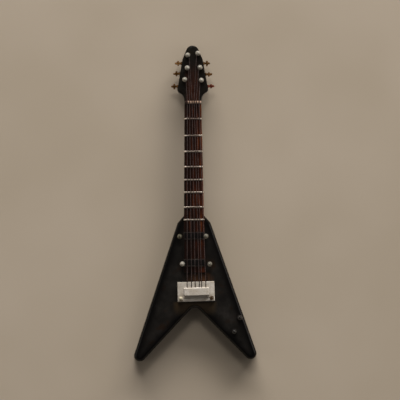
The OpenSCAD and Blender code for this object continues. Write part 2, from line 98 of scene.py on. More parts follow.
PIN_D, PIN_DEPTH, BALL_D, BRIDGE_BALL_D = 0.6, 1.7, 1.6, 1.4
KEY_D, COLLAR_D, COLLAR_T, KEY_W, KEY_L, KEY_T, KEY_DEPTH = 0.7, 1.15, 0.3, 1.9, 1.9, 0.55, 2.0
FRET_H, FRET_W, FRET_OVER = 0.25, 0.55, 0.1
KEY_TURNS = [24, 48, -28, 62, -40, 8]
KEY_LOBES = [(0.79, 0.274, -0.095), (0.55, 0.36, 0.14), (0.285, 0.29, -0.115)]
NUT_SHARES = [-0.67, -0.4, -0.1, 0.16, 0.41, 0.74]
BAR_SHARES = [-0.73, -0.38, -0.09, 0.23, 0.42, 0.745]
STRING_POSTS = [0, 1, 2, 5, 4, 3]
# Glue gap round the tenon and pins, running gap, how far a cut runs past a face, and a bore's radius.
GLUE_GAP, RUN_GAP, PAST, KNOB_BORE_R = 0.02, 0.05, 1, 0.4
HOLE_SIDES = 28
QUARTER = [pi / 2 * k / 4 for k in range(5)]

BODY_DISCS = [
    (SPAN / 2 - 1.9, TAIL_Y + 2.3, 1.9, 30),
    (3.85, BODY_Y - 3.15, 1.6, 10),
    (TENON_W / 2 + 0.4, BODY_Y - 1.3, 1.3, 12),
    (-TENON_W / 2 - 0.4, BODY_Y - 1.3, 1.3, 12),
    (-3.85, BODY_Y - 3.15, 1.6, 10),
    (1.9 - SPAN / 2, TAIL_Y + 1.9, 1.9, 30),
    (0, CROTCH_Y - 1.9, -1.9, 36),
]
HEAD_SIDE = [
    (NUT_W / 2 - 0.5, 0.5, 0.5, 6),
    (NUT_W / 2 + 2.2, 1.3, -2.0, 12),
    (HEAD_W / 2 - 1.05, 4.3, 1.05, 16),
    (1.95, HEAD_L - 4.7, 1.3, 10),
]
HEAD_DISCS = HEAD_SIDE + [(0, HEAD_L - 2.1, 2.1, 30)] + [(-x, y, r, n) for x, y, r, n in HEAD_SIDE[::-1]]


def board_half(y):
    """Half the fretboard's width at y."""
    share = (y - BOARD_END_Y) / (NUT_Y - BOARD_END_Y)
    return (BOARD_END_W + (NUT_W - BOARD_END_W) * share) / 2


def from_head(x, y, z):
    """A point of the headstock's own frame, with the nut at its origin, in the guitar's frame."""
    c, s = cos(HEAD_TILT), sin(HEAD_TILT)
    return Vector((x, NUT_Y + y * c + z * s, TOP_Z - y * s + z * c))


def on_plate(x, y, z=0.0):
    """A point of the bridge plate's own frame, in the guitar's frame."""
    c, s = cos(PLATE_TURN), sin(PLATE_TURN)
    return Vector((PLATE_MID.x + x * c - y * s, PLATE_MID.y + x * s + y * c, TOP_Z + z))


def ball_of(name, diameter):
    """Centre of a post's or pin's ball head, from its node's box."""
    low, high = box(name)
    y = high.y - diameter / 2 if name.startswith("tuning") else (low.y + high.y) / 2
    return Vector(((low.x + high.x) / 2, y, high.z - diameter / 2))


# ---- outlines and faces


def heading(a, b):
    """Direction of a belt from one disc to the next."""
    gap = hypot(b[0] - a[0], b[1] - a[1])
    return atan2(b[1] - a[1], b[0] - a[0]) - asin((b[2] - a[2]) / gap)


def belt(discs, inset=0.0):
    """Closed belt round a list of discs (x, y, signed radius, steps), drawn in by inset."""
    points = []
    for i, disc in enumerate(discs):
        start = heading(discs[i - 1], disc)
        turn = (heading(disc, discs[(i + 1) % len(discs)]) - start + 5 * pi) % (tau) - pi
        r = disc[2] - inset
        for k in range(disc[3] + 1):
            a = start + turn * k / disc[3]
            points.append((disc[0] + r * sin(a), disc[1] - r * cos(a)))
    return points


def split(points, longest):
    """The closed outline with its long straight runs cut into shorter ones."""
    out = []
    for i, a in enumerate(points):
        b = points[(i + 1) % len(points)]
        n = max(1, ceil(hypot(b[0] - a[0], b[1] - a[1]) / longest))
        out += [(a[0] + (b[0] - a[0]) * k / n, a[1] + (b[1] - a[1]) * k / n) for k in range(n)]
    return out


def rim_distance(points, outline):
    """Distance of each point from a closed outline, in the plane."""
    p = np.array(points, float)[:, None, :]
    a = np.array(outline, float)[None]
    d = np.roll(a, -1, 1) - a
    t = np.clip(((p - a) * d).sum(2) / np.maximum((d * d).sum(2), 1e-12), 0, 1)
    return np.sqrt((((a + d * t[..., None]) - p) ** 2).sum(2)).min(1)


def inside(points, outline):
    p, a = np.array(points, float), np.array(outline, float)
    b = np.roll(a, -1, 0)
    x, y = p[:, 0:1], p[:, 1:2]
    crosses = (a[:, 1] > y) != (b[:, 1] > y)
    at = a[:, 0] + (y - a[:, 1]) * (b[:, 0] - a[:, 0]) / np.where(a[:, 1] == b[:, 1], 1, b[:, 1] - a[:, 1])
    return ((crosses & (x < at)).sum(1) % 2).astype(bool)


def fill(ring, spacing, holes=()):
    """An even mesh of triangles over a flat outline, with round holes (x, y, radius, sides) left open.
    Gives the points, of which the ring's come first, the triangles and each hole's own points."""
    pts = [tuple(p) for p in ring]
    edges = [(i, (i + 1) % len(ring)) for i in range(len(ring))]
    rims = []
    for x, y, r, n in holes:
        start = len(pts)
        pts += [(x + r * cos(tau * k / n), y + r * sin(tau * k / n)) for k in range(n)]
        edges += [(start + k, start + (k + 1) % n) for k in range(n)]
        rims.append(list(range(start, start + n)))
    a = np.array(ring)
    low, high = a.min(0), a.max(0)
    rows = np.arange(low[1], high[1], spacing * 0.866)
    columns = np.arange(low[0], high[0], spacing)
    grid = np.array([(x + (j % 2) * spacing / 2, y) for j, y in enumerate(rows) for x in columns])
    keep = inside(grid, ring) & (rim_distance(grid, ring) > spacing * 0.45)
    for x, y, r, n in holes:
        keep &= np.hypot(grid[:, 0] - x, grid[:, 1] - y) > r + spacing * 0.35
    pts += [tuple(p) for p in grid[keep]]
    made, _, faces, origin, _, _ = geometry.delaunay_2d_cdt([Vector(p) for p in pts], edges, [], 1, 1e-6)
    back = {i: min(o) for i, o in enumerate(origin) if o}
    faces = [tuple(back[i] for i in f) for f in faces]

    def open_space(f):
        mid = np.mean([pts[i] for i in f], 0)
        return any(hypot(mid[0] - x, mid[1] - y) < r * 0.995 for x, y, r, n in holes)

    return pts, [f for f in faces if not open_space(f)], rims


def bands(n, rows):
    """Faces between neighbouring rows of n points each."""
    return [(j * n + k, j * n + (k + 1) % n, (j + 1) * n + (k + 1) % n, (j + 1) * n + k)
            for j in range(rows - 1) for k in range(n)]


def slab(discs, low_z, high_z, low_r, high_r, steps, spacing, holes=(), relief=None):
    """A board with the belt's outline and rounded edges. holes are (x, y, radius, depth) in its face, and
    relief(x, y) is how far the face is worn down at a point."""
    levels = [(low_r * (1 - sin(a)), low_z + low_r * (1 - cos(a)))
              for a in (pi / 2 * i / steps for i in range(steps + 1))]
    levels += [(high_r * (1 - cos(a)), high_z - high_r * (1 - sin(a)))
               for a in (pi / 2 * i / steps for i in range(steps + 1))]
    rings = []
    for inset, z in levels:
        rings.append([(p[0], p[1], z) for p in belt(discs, inset)])
    # Long straight runs are cut into shorter ones, at the same places on each ring.
    counts = []
    for i, a in enumerate(rings[0]):
        b = rings[0][(i + 1) % len(rings[0])]
        counts.append(max(1, ceil(dist(a, b) / (spacing * 1.4))))
    rings = [
        [tuple(np.array(ring[i]) + (np.array(ring[(i + 1) % len(ring)]) - ring[i]) * k / counts[i])
         for i in range(len(ring)) for k in range(counts[i])]
        for ring in rings
    ]
    n = len(rings[0])
    verts = [p for ring in rings for p in ring]
    faces = bands(n, len(rings))
    for ring, start, z, cut in ((rings[-1], n * (len(rings) - 1), high_z, holes), (rings[0], 0, low_z, ())):
        flat = [(p[0], p[1]) for p in ring]
        pts, tris, rims = fill(flat, spacing, [(x, y, r, HOLE_SIDES) for x, y, r, _ in cut])
        offset = len(verts) - n
        verts += [
            (x, y, z - (relief(x, y) * min(1.0, d / 2) if relief and z == high_z else 0.0))
            for (x, y), d in zip(pts[n:], rim_distance(pts[n:], flat))
        ]
        place = [start + i if i < n else offset + i for i in range(len(pts))]
        faces += [tuple(place[i] for i in (t if z == high_z else t[::-1])) for t in tris]
        for rim, (x, y, r, depth) in zip(rims, cut):
            above = [place[i] for i in rim]
            for shrink, down in ((0.9, 0.05), (0.88, depth)):
                below = list(range(len(verts), len(verts) + len(rim)))
                for i in above:
                    vx, vy, _ = verts[i]
                    s = shrink if down < depth else 1.0
                    verts.append((x + (vx - x) * s, y + (vy - y) * s, z - down))
                m = len(rim)
                faces += [(above[k], above[(k + 1) % m], below[(k + 1) % m], below[k]) for k in range(m)]
                above = below
            faces.append(tuple(above))
    return verts, faces


def lathe(profile, sides=40):
    """A turned shape from (radius, height) pairs, from the bottom up; a radius of 0 closes it."""
    verts, faces, rings = [], [], []
    for r, z in profile:
        if r < 1e-9:
            rings.append([len(verts)])
            verts.append((0.0, 0.0, z))
        else:
            rings.append(list(range(len(verts), len(verts) + sides)))
            verts += [(r * cos(tau * k / sides), r * sin(tau * k / sides), z)
                      for k in range(sides)]
    for a, b in zip(rings, rings[1:]):
        for k in range(sides):
            n = (k + 1) % sides
            if len(a) == 1:
                faces.append((a[0], b[n], b[k]))
            elif len(b) == 1:
                faces.append((a[k], a[n], b[0]))
            else:
                faces.append((a[k], a[n], b[n], b[k]))
    if len(rings[0]) > 1:
        faces.append(tuple(reversed(rings[0])))
    if len(rings[-1]) > 1:
        faces.append(tuple(rings[-1]))
    return verts, faces


def arc(cx, cz, r, start, end, steps):
    """(radius, height) pairs on a circle, by angles in degrees from the level."""
    return [(max(0.0, cx + r * cos(radians(start + (end - start) * i / steps))),
             cz + r * sin(radians(start + (end - start) * i / steps))) for i in range(steps + 1)]


def loft(sections):
    """Closed sections of equal length joined in a row, with flat ends."""
    n = len(sections[0])
    verts = [tuple(p) for s in sections for p in s]
    last = (len(sections) - 1) * n
    return verts, bands(n, len(sections)) + [tuple(range(n - 1, -1, -1)), tuple(range(last, last + n))]


def tube(path, radius, sides=12):
    """A round wire along a path, with domed ends."""
    path = [Vector(p) for p in path]
    steps = [(b - a).normalized() for a, b in zip(path, path[1:])]
    along = [steps[0]] + [(a + b).normalized() for a, b in zip(steps, steps[1:])] + [steps[-1]]
    across = along[0].orthogonal().normalized()
    sections = []
    for i, p in enumerate(path):
        across = (across - along[i] * across.dot(along[i])).normalized()
        up = along[i].cross(across)
        ends = [(0.0, 1.0)]
        if i == 0:
            ends = [(-0.8, 0.45), (-0.45, 0.85), (0.0, 1.0)]
        elif i == len(path) - 1:
            ends = [(0.0, 1.0), (0.45, 0.85), (0.8, 0.45)]
        for shift, size in ends:
            sections.append([
                p + along[i] * shift * radius + (across * cos(a) + up * sin(a)) * radius * size
                for a in (tau * k / sides for k in range(sides))
            ])
    return loft(sections)


def moved(shape, matrix):
    return [tuple(matrix @ Vector(v)) for v in shape[0]], shape[1]


def shifted(shape, x, y=0, z=0):
    return moved(shape, Matrix.Translation((x, y, z)))


def together(*shapes):
    """Several closed shapes as one."""
    verts, faces = [], []
    for v, f in shapes:
        faces += [tuple(i + len(verts) for i in face) for face in f]
        verts += list(v)
    return verts, faces


def wave(x, y, z):
    """Smooth noise from 0 to 1."""
    return 0.5 + 0.5 * noise.noise(Vector((x, y, z)))


def wander(p):
    """A smooth shift that varies from place to place."""
    return Vector([noise.noise(p + Vector((31.7 * k, 17.3 * k, 5.1 * k))) for k in range(3)])


def block(low, high, edge, segments=3, wear=0.0, seed=0.0):
    """A block with rounded edges, cut into short lengths so that its faces can be a little uneven."""
    bm = bmesh.new()
    bmesh.ops.create_cube(bm, size=1)
    low, high = Vector(low), Vector(high)
    for v in bm.verts:
        v.co = Vector(((low[k] + high[k]) / 2 + v.co[k] * (high[k] - low[k])) for k in range(3))
    if edge:
        bmesh.ops.bevel(bm, geom=bm.edges[:], offset=edge, segments=segments, profile=0.5, affect="EDGES")
    if wear:
        long_edges = [e for e in bm.edges if e.calc_length() > 1.0]
        bmesh.ops.subdivide_edges(bm, edges=long_edges, cuts=9, use_grid_fill=True)
        for v in bm.verts:
            v.co += wander(v.co * 0.9 + Vector((seed, 0, 0))) * wear
    # Sorted, so that the mesh is the same each time.
    points = sorted(bm.verts, key=lambda v: tuple(v.co))
    place = {v: i for i, v in enumerate(points)}
    faces = []
    for f in bm.faces:
        ring = [place[v] for v in f.verts]
        first = ring.index(min(ring))
        faces.append(tuple(ring[first:] + ring[:first]))
    shape = [tuple(v.co) for v in points], sorted(faces)
    bm.free()
    return shape


# ---- objects


def in_scene(name, data):
    """A new object of the data, linked to the scene."""
    obj = bpy.data.objects.new(name, data)
    bpy.context.scene.collection.objects.link(obj)
    return obj


def raw_object(name, shape):
    """An object still in millimetres, with its faces turned outwards."""
    mesh = bpy.data.meshes.new(name)
    mesh.from_pydata([tuple(v) for v in shape[0]], [], [tuple(f) for f in shape[1]])
    bm = bmesh.new()
    bm.from_mesh(mesh)
    bmesh.ops.remove_doubles(bm, verts=bm.verts, dist=1e-6)
    bmesh.ops.recalc_face_normals(bm, faces=bm.faces)
    bm.to_mesh(mesh)
    bm.free()
    return in_scene(name, mesh)


def apply_modifiers(obj):
    graph = bpy.context.evaluated_depsgraph_get()
    made = bpy.data.meshes.new_from_object(obj.evaluated_get(graph))
    old = obj.data
    obj.modifiers.clear()
    obj.data = made
    bpy.data.meshes.remove(old)


def combine(obj, shape, how):
    """Adds a shape to an object or cuts it away."""
    tool = raw_object("tool", shape)
    cut = obj.modifiers.new("combine", "BOOLEAN")
    cut.operation, cut.solver, cut.object = how, "EXACT", tool
    apply_modifiers(obj)
    mesh = tool.data
    bpy.data.objects.remove(tool)
    bpy.data.meshes.remove(mesh)


def drill(obj, x, y, r, low, high):
    """Bores a round hole straight up through an object."""
    combine(obj, shifted(lathe([(r, low), (r, high)], HOLE_SIDES), x, y), "DIFFERENCE")


def point_values(obj, name, values):
    """Gives a mesh a number at each of its points, for its material."""
    obj.data.attributes.new(name, "FLOAT", "POINT").data.foreach_set("value", values)


def fuse(obj, voxel, smooth):
    """Melts an object's shells into one cast skin."""
    cast = obj.modifiers.new("fuse", "REMESH")
    cast.mode, cast.voxel_size = "VOXEL", voxel
    soften = obj.modifiers.new("soften", "SMOOTH")
    soften.factor, soften.iterations = 0.5, smooth
    apply_modifiers(obj)


def finished(obj, node, material, body="guitar", sharp=38):
    """Turns an object into metres and lets it stand for its CAD node."""
    obj.name = obj.data.name = node + "_piece"
    obj.data.transform(Matrix.Scale(MM, 4))
    obj.data.shade_smooth()
    obj.data.set_sharp_from_angle(angle=radians(sharp))
    obj.data.materials.clear()
    obj.data.materials.append(material)
    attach(obj, body)
    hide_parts(node)


# ---- materials


class Look:
    """A procedural material whose patterns are measured in millimetres on the piece."""

    def __init__(self, name, **constants):
        self.material = bpy.data.materials.new(name)
        self.material.use_nodes = True
        self.tree = self.material.node_tree
        self.shader = self.tree.nodes["Principled BSDF"]
        for key, value in constants.items():
            self.shader.inputs[key.replace("_", " ")].default_value = value
        where = self.node("TexCoord")
        self.place = self.vector("SCALE", where.outputs["Object"], scale=1 / MM)

    def node(self, kind):
        return self.tree.nodes.new("ShaderNode" + kind)

    def link(self, value, socket):
        if isinstance(value, bpy.types.NodeSocket):
            self.tree.links.new(value, socket)
        elif isinstance(value, tuple) and len(value) == 3 and len(socket.default_value) == 4:
            socket.default_value = (*value, 1)
        else:
            socket.default_value = value

    def vector(self, how, a, b=None, scale=None):
        n = self.node("VectorMath")
        n.operation = how
        self.link(a, n.inputs[0])
        if b is not None:
            self.link(b, n.inputs[1])
        if scale is not None:
            n.inputs["Scale"].default_value = scale
        return n.outputs["Value" if how in ("LENGTH", "DISTANCE") else "Vector"]

    def axis(self, k, of=None):
        n = self.node("SeparateXYZ")
        self.link(self.place if of is None else of, n.inputs[0])
        return n.outputs[k]

    def math(self, how, a, b=0.0):
        n = self.node("Math")
        n.operation = how
        self.link(a, n.inputs[0])
        self.link(b, n.inputs[1])
        return n.outputs[0]

    def times(self, a, b):
        return self.math("MULTIPLY", a, b)

    def plus(self, a, b):
        return self.math("ADD", a, b)

    def noise(self, scale, detail=3.0, rough=0.55, stretch=(1, 1, 1), seed=0.0, distortion=0.0):
        at = self.vector("MULTIPLY", self.place, tuple(float(s) for s in stretch))
        at = self.vector("ADD", at, (seed, seed * 1.7, seed * 0.6))
        n = self.node("TexNoise")
        self.link(at, n.inputs["Vector"])
        sizes = {"Scale": scale, "Detail": detail, "Roughness": rough, "Distortion": distortion}
        for key, value in sizes.items():
            n.inputs[key].default_value = value
        return n.outputs["Fac"]

    def specks(self, scale, seed=0.0):
        """Distance from the nearest of many scattered points, in cells."""
        n = self.node("TexVoronoi")
        self.link(self.vector("ADD", self.place, (seed, seed, seed)), n.inputs["Vector"])
        n.inputs["Scale"].default_value = scale
        return n.outputs["Distance"]

    def spread(self, value, low, high):
        """A pattern's middle tones spread from low to high, for a roughness."""
        return self.step(value, 0.3, 0.7, low, high)

    def step(self, value, low, high, out_low=0.0, out_high=1.0):
        """A smooth change from out_low to out_high as value goes from low to high."""
        n = self.node("MapRange")
        n.interpolation_type = "SMOOTHSTEP"
        ends = {"Value": value, "From Min": low, "From Max": high, "To Min": out_low, "To Max": out_high}
        for key, v in ends.items():
            self.link(v, n.inputs[key])
        return n.outputs["Result"]

    def ramp(self, value, *stops):
        n = self.node("ValToRGB")
        self.link(value, n.inputs[0])
        band = n.color_ramp
        while len(band.elements) < len(stops):
            band.elements.new(0.5)
        for element, (at, colour) in zip(band.elements, stops):
            element.position, element.color = at, (*colour, 1)
        return n.outputs[0]

    def mix(self, share, a, b, how="MIX"):
        n = self.node("Mix")
        n.data_type, n.blend_type = "RGBA", how
        self.link(share, n.inputs["Factor"])
        self.link(a, n.inputs[6])
        self.link(b, n.inputs[7])
        return n.outputs[2]

    def attribute(self, name):
        n = self.node("Attribute")
        n.attribute_name = name
        return n.outputs["Fac"]

    def bump(self, height, depth):
        """depth is the relief's height in millimetres."""
        n = self.node("Bump")
        n.inputs["Distance"].default_value = depth * MM
        n.inputs["Strength"].default_value = 1.0
        self.link(height, n.inputs["Height"])
        self.tree.links.new(n.outputs[0], self.shader.inputs["Normal"])

    def done(self, colour=None, rough=None):
        if colour is not None:
            self.link(colour, self.shader.inputs["Base Color"])
        if rough is not None:
            self.link(rough, self.shader.inputs["Roughness"])
        return self.material


def srgb(r, g, b):
    """A colour written as it shows, 0 to 255."""
    shares = (v / 255 for v in (r, g, b))
    return tuple(v / 12.92 if v <= 0.04045 else ((v + 0.055) / 1.055) ** 2.4 for v in shares)


def body_look():
    """Black lacquer: black along the edges, charcoal inside, brown in patches, with a painted reflection ahead
    of the bridge plate and a painted lift of the plate's shadow behind it.
    """
    k = Look("body lacquer", IOR=1.3, Coat_Weight=0.08, Coat_Roughness=0.2)
    rim = k.attribute("rim")
    patches = k.noise(0.16, 4, 0.6, seed=3.1)
    grain = k.noise(2.2, 5, 0.65, stretch=(1, 0.12, 1), seed=9.0)
    # Black near the rim, charcoal further in.
    soft = k.plus(rim, k.times(k.math("SUBTRACT", patches, 0.5), 2.4))
    inner_share = k.step(soft, 0.9, 3.4)
    middle = k.noise(0.22, 5, 0.62, seed=1.7)
    middle = k.ramp(middle, (0.3, srgb(18, 16, 15)), (0.5, srgb(28, 26, 24)), (0.72, srgb(41, 38, 36)))
    middle = k.mix(k.step(k.noise(0.3, 3, seed=6.2), 0.52, 0.72), middle, srgb(32, 22, 15))
    colour = k.mix(inner_share, srgb(6, 5, 5), middle)
    colour = k.mix(k.times(grain, 0.35), colour, srgb(14, 12, 11), "MULTIPLY")
    # A painted reflection: a brown glow ahead of the bridge plate, standing in for the strings' copper
    # reflection there.
    from_reflection_spot = k.vector("DISTANCE", k.vector("MULTIPLY", k.place, (0.45, 1.0, 0.0)), (0.6, -24.0, 0.0))
    near = k.step(from_reflection_spot, 0.4, 2.6, 1.0, 0.0)
    glow = k.times(near, k.step(k.noise(1.1, 3, stretch=(2, 0.5, 1), seed=4.4), 0.25, 0.7))
    # A painted lift of light: a brown patch behind the bridge plate, lighter than the lacquer, where the plate
    # casts its shadow.
    shadow_lift = k.step(k.axis(1), PLATE_FRONT - PLATE_L + 0.2, PLATE_FRONT - PLATE_L - 0.5)
    shadow_lift = k.times(shadow_lift, k.step(rim, 0.3, 1.2))
    shadow_lift = k.times(shadow_lift, k.step(k.math("ABSOLUTE", k.axis(0)), 5.5, 7.5, 1.0, 0.0))
    shadow_lift = k.times(shadow_lift, k.step(k.axis(1), CROTCH_Y - 3.0, CROTCH_Y + 0.5))
    colour = k.mix(glow, k.mix(shadow_lift, colour, srgb(50, 40, 28)), srgb(78, 52, 34))
    dust = k.step(k.specks(2.6), 0.05, 0.02)
    colour = k.mix(k.times(dust, k.step(k.noise(0.5, 2, seed=8.0), 0.5, 0.65)), colour, srgb(70, 62, 54))
    worn = k.times(k.step(rim, 0.5, 0.2), k.step(k.noise(0.9, 5, 0.6, seed=2.2), 0.56, 0.64))
    worn = k.times(worn, k.step(k.axis(2), TOP_Z - 1.0, TOP_Z - 0.55))
    colour = k.mix(k.times(worn, 0.3), colour, srgb(78, 58, 42))
    rough = k.spread(k.noise(0.5, 4, seed=5.0), 0.28, 0.4)
    rough = k.math("MINIMUM", rough, k.step(rim, 0.7, 1.6, 0.16, 0.5))
    height = k.plus(k.times(grain, 0.5), k.times(k.noise(0.9, 3, seed=7.7), 0.8))
    k.bump(height, 0.05)
    return k.done(colour, rough)


def neck_look():
    """The same lacquer on the neck and headstock, worn to red-brown under the strings."""
    k = Look("neck lacquer", IOR=1.3, Coat_Weight=0.05, Coat_Roughness=0.2)
    grain = k.noise(2.6, 5, 0.65, stretch=(1, 0.1, 1), seed=12.0)
    dark = k.noise(0.35, 4, 0.6, seed=2.9)
    dark = k.ramp(dark, (0.3, srgb(8, 6, 4)), (0.55, srgb(15, 12, 8)), (0.8, srgb(26, 21, 12)))
    across = k.math("ABSOLUTE", k.plus(k.axis(0), 0.1))
    edge = k.plus(across, k.times(k.noise(0.8, 3, stretch=(1, 0.3, 1), seed=5.5), 1.2))
    strip = k.step(edge, 2.0, 3.1, 1.0, 0.0)
    strip = k.times(strip, k.step(k.axis(1), NUT_Y + 14.5, NUT_Y + 5.0))
    strip = k.times(strip, k.step(k.axis(1), NUT_Y - 1.5, NUT_Y - 0.5))
    red = k.ramp(grain, (0.3, srgb(24, 10, 6)), (0.5, srgb(44, 20, 12)), (0.7, srgb(70, 38, 24)))
    colour = k.mix(k.times(strip, 0.85), dark, red)
    rough = k.spread(k.noise(0.6, 4, seed=5.0), 0.26, 0.38)
    k.bump(k.plus(grain, k.noise(0.9, 3, seed=7.7)), 0.04)
    return k.done(colour, rough)


def board_look():
    """Dark red wood with long streaks, more of them on the right."""
    k = Look("fretboard wood", IOR=1.3)
    streak = k.noise(1.9, 6, 0.6, stretch=(1, 0.06, 1), seed=1.0, distortion=0.4)
    fine = k.noise(9.0, 4, 0.7, stretch=(1, 0.05, 1), seed=4.0)
    lean = k.times(k.axis(0), 0.04)
    lean = k.plus(lean, k.step(k.axis(1), BODY_Y + 1.0, BODY_Y - 4.0, 0.0, -0.05))
    colour = k.ramp(
        k.plus(k.plus(streak, lean), k.times(k.math("SUBTRACT", fine, 0.5), 0.25)),
        (0.3, srgb(13, 5, 3)), (0.48, srgb(32, 13, 7)), (0.6, srgb(60, 26, 12)), (0.74, srgb(104, 52, 22)),
    )
    pores = k.step(k.noise(16.0, 2, 0.5, stretch=(1, 0.08, 1), seed=7.0), 0.62, 0.7)
    colour = k.mix(k.times(pores, 0.7), colour, srgb(9, 5, 4))
    rough = k.spread(fine, 0.34, 0.48)
    k.bump(k.math("SUBTRACT", fine, pores), 0.02)
    return k.done(colour, rough)


def metal_look(name, light, dark, patina, low, high, seed):
    """Drawn or cast metal: two tones, a patina in patches, fine scratches."""
    k = Look(name, Metallic=1.0)
    tone = k.noise(2.4, 4, 0.6, seed=seed)
    marks = k.noise(14.0, 3, 0.6, seed=seed + 3)
    colour = k.mix(k.step(tone, 0.35, 0.65), light, dark)
    colour = k.mix(k.times(k.step(k.noise(1.2, 5, 0.65, seed=seed + 6), 0.5, 0.66), 0.55), colour, patina)
    rough = k.spread(marks, low, high)
    k.bump(k.plus(marks, k.times(tone, 2.0)), 0.012)
    return k.done(colour, rough)


def fret_look():
    """Nickel wire: bright at both ends, dull in the middle, partly from wear where strings and fingers pass and
    partly as painted shade of the strings.
    """
    k = Look("fret wire", Metallic=1.0)
    across = k.math("ABSOLUTE", k.axis(0))
    marks = k.noise(11.0, 3, 0.6, stretch=(0.3, 3, 1), seed=2.0)
    # Painted shade of the strings, together with wear, dulls the middle of each fret.
    dull_and_string_shade = k.step(k.plus(across, k.noise(0.9, 3, seed=4.0)), 1.6, 3.3, 1.0, 0.0)
    dull_and_string_shade = k.times(dull_and_string_shade, k.step(k.axis(1), BODY_Y - 1.0, NUT_Y, 0.45, 1.0))
    colour = k.mix(k.times(dull_and_string_shade, 0.85), srgb(236, 224, 212), srgb(128, 110, 98))
    colour = k.mix(k.times(k.step(marks, 0.55, 0.7), 0.5), colour, srgb(84, 66, 54))
    rough = k.spread(marks, 0.36, 0.52)
    k.bump(marks, 0.01)
    return k.done(colour, rough)


def string_look():
    """Wound wire: grey, brown where it is touched, and darkened nearly black over the bridge plate as painted
    shade.
    """
    k = Look("string wire", Metallic=1.0)
    turns = k.noise(9.0, 2, 0.5, stretch=(0.2, 2.2, 0.2), seed=4.0)
    colour = k.mix(k.step(turns, 0.35, 0.65), srgb(128, 117, 118), srgb(90, 78, 79))
    touched = k.times(k.step(k.noise(0.7, 5, 0.65, seed=10.0), 0.48, 0.64), 0.6)
    colour = k.mix(touched, colour, srgb(70, 51, 45))
    # Painted shade: the wire goes nearly black where it crosses the bridge plate, standing in for its dark
    # reflection and shadow there.
    plate_shade = k.step(k.plus(k.axis(1), k.noise(1.1, 2, seed=6.0)), PLATE_FRONT + 1.4, PLATE_FRONT + 0.1)
    colour = k.mix(k.times(plate_shade, 0.9), colour, srgb(44, 32, 26))
    rough = k.spread(turns, 0.3, 0.45)
    k.bump(turns, 0.015)
    return k.done(colour, rough)


def white_look(name, pale, warm, grime, seed=0.0, darkening=None, strings=()):
    """Painted white card or bone: warm in patches, grime in the pores, darker where the mesh says, and a
    painted shadow ahead of the bridge bar under each string."""
    k = Look(name, Coat_Weight=0.1, Coat_Roughness=0.4)
    patches = k.noise(0.55, 4, 0.6, seed=seed)
    colour = k.mix(k.step(patches, 0.35, 0.68), pale, warm)
    pores = k.step(k.noise(7.0, 3, 0.6, seed=seed + 2), 0.6, 0.72)
    stains = k.step(k.noise(1.3, 5, 0.65, seed=seed + 5), 0.56, 0.72)
    colour = k.mix(k.times(k.math("MAXIMUM", pores, stains), 0.4), colour, grime)
    if darkening:
        held = k.plus(k.attribute(darkening), k.times(k.math("SUBTRACT", patches, 0.5), 0.6))
        colour = k.mix(k.step(held, 0.35, 0.65), colour, tuple(c * 0.5 for c in grime))
    # Painted shadow: a dark streak on the plate under each string, ahead of the bridge bar.
    if strings:
        sideways = k.plus(k.axis(0), k.times(k.math("SUBTRACT", k.noise(2.0, 2, seed=seed), 0.5), 0.25))
        stain = 0.0
        for x in strings:
            near = k.math("ABSOLUTE", k.math("SUBTRACT", sideways, x))
            stain = k.math("MAXIMUM", stain, k.step(near, 0.1, 0.22, 1.0, 0.0))
        front = PLATE_MID.y + BAR_FRONT
        stain = k.times(stain, k.step(k.axis(1), front - 0.05, front + 0.05))
        colour = k.mix(k.times(stain, 0.8), colour, srgb(62, 46, 38))
    rough = k.spread(k.noise(3.0, 3, seed=seed + 1), 0.42, 0.6)
    k.bump(k.math("SUBTRACT", k.noise(4.0, 4, 0.6, seed=seed + 8), pores), 0.02)
    return k.done(colour, rough)


def plastic_look(name, black, scuff_and_highlight, low, high, seed=0.0, coat=0.3):
    """Black moulded plastic with a worn sheen, scuffs and a few specks of dust; on the knobs the scuff colour
    is pale enough to be a painted highlight too.
    """
    k = Look(name, IOR=1.35, Coat_Weight=coat, Coat_Roughness=0.1)
    scuffs = k.noise(5.0, 5, 0.7, stretch=(1, 3, 1), seed=seed)
    colour = k.mix(k.step(scuffs, 0.5, 0.7), black, scuff_and_highlight)
    dust = k.step(k.specks(3.3, seed), 0.07, 0.03)
    colour = k.mix(k.times(dust, 0.6), colour, srgb(92, 82, 72))
    rough = k.spread(k.noise(1.8, 4, seed=seed + 4), low, high)
    k.bump(scuffs, 0.012)
    return k.done(colour, rough)


def pearl_look(name, bright, shade, stain, seed=0.0, metallic=0.6):
    """Silvery pearl paint on a ball head, thin and brownish in patches."""
    k = Look(name, Metallic=metallic, Coat_Weight=0.5, Coat_Roughness=0.14)
    tone = k.noise(1.6, 4, 0.6, seed=seed)
    colour = k.mix(k.step(tone, 0.38, 0.64), bright, shade)
    colour = k.mix(k.times(k.step(k.noise(2.6, 4, 0.65, seed=seed + 3), 0.56, 0.7), 0.5), colour, stain)
    rough = k.spread(k.noise(5.0, 3, seed=seed + 5), 0.3, 0.48)
    k.bump(tone, 0.03)
    return k.done(colour, rough)


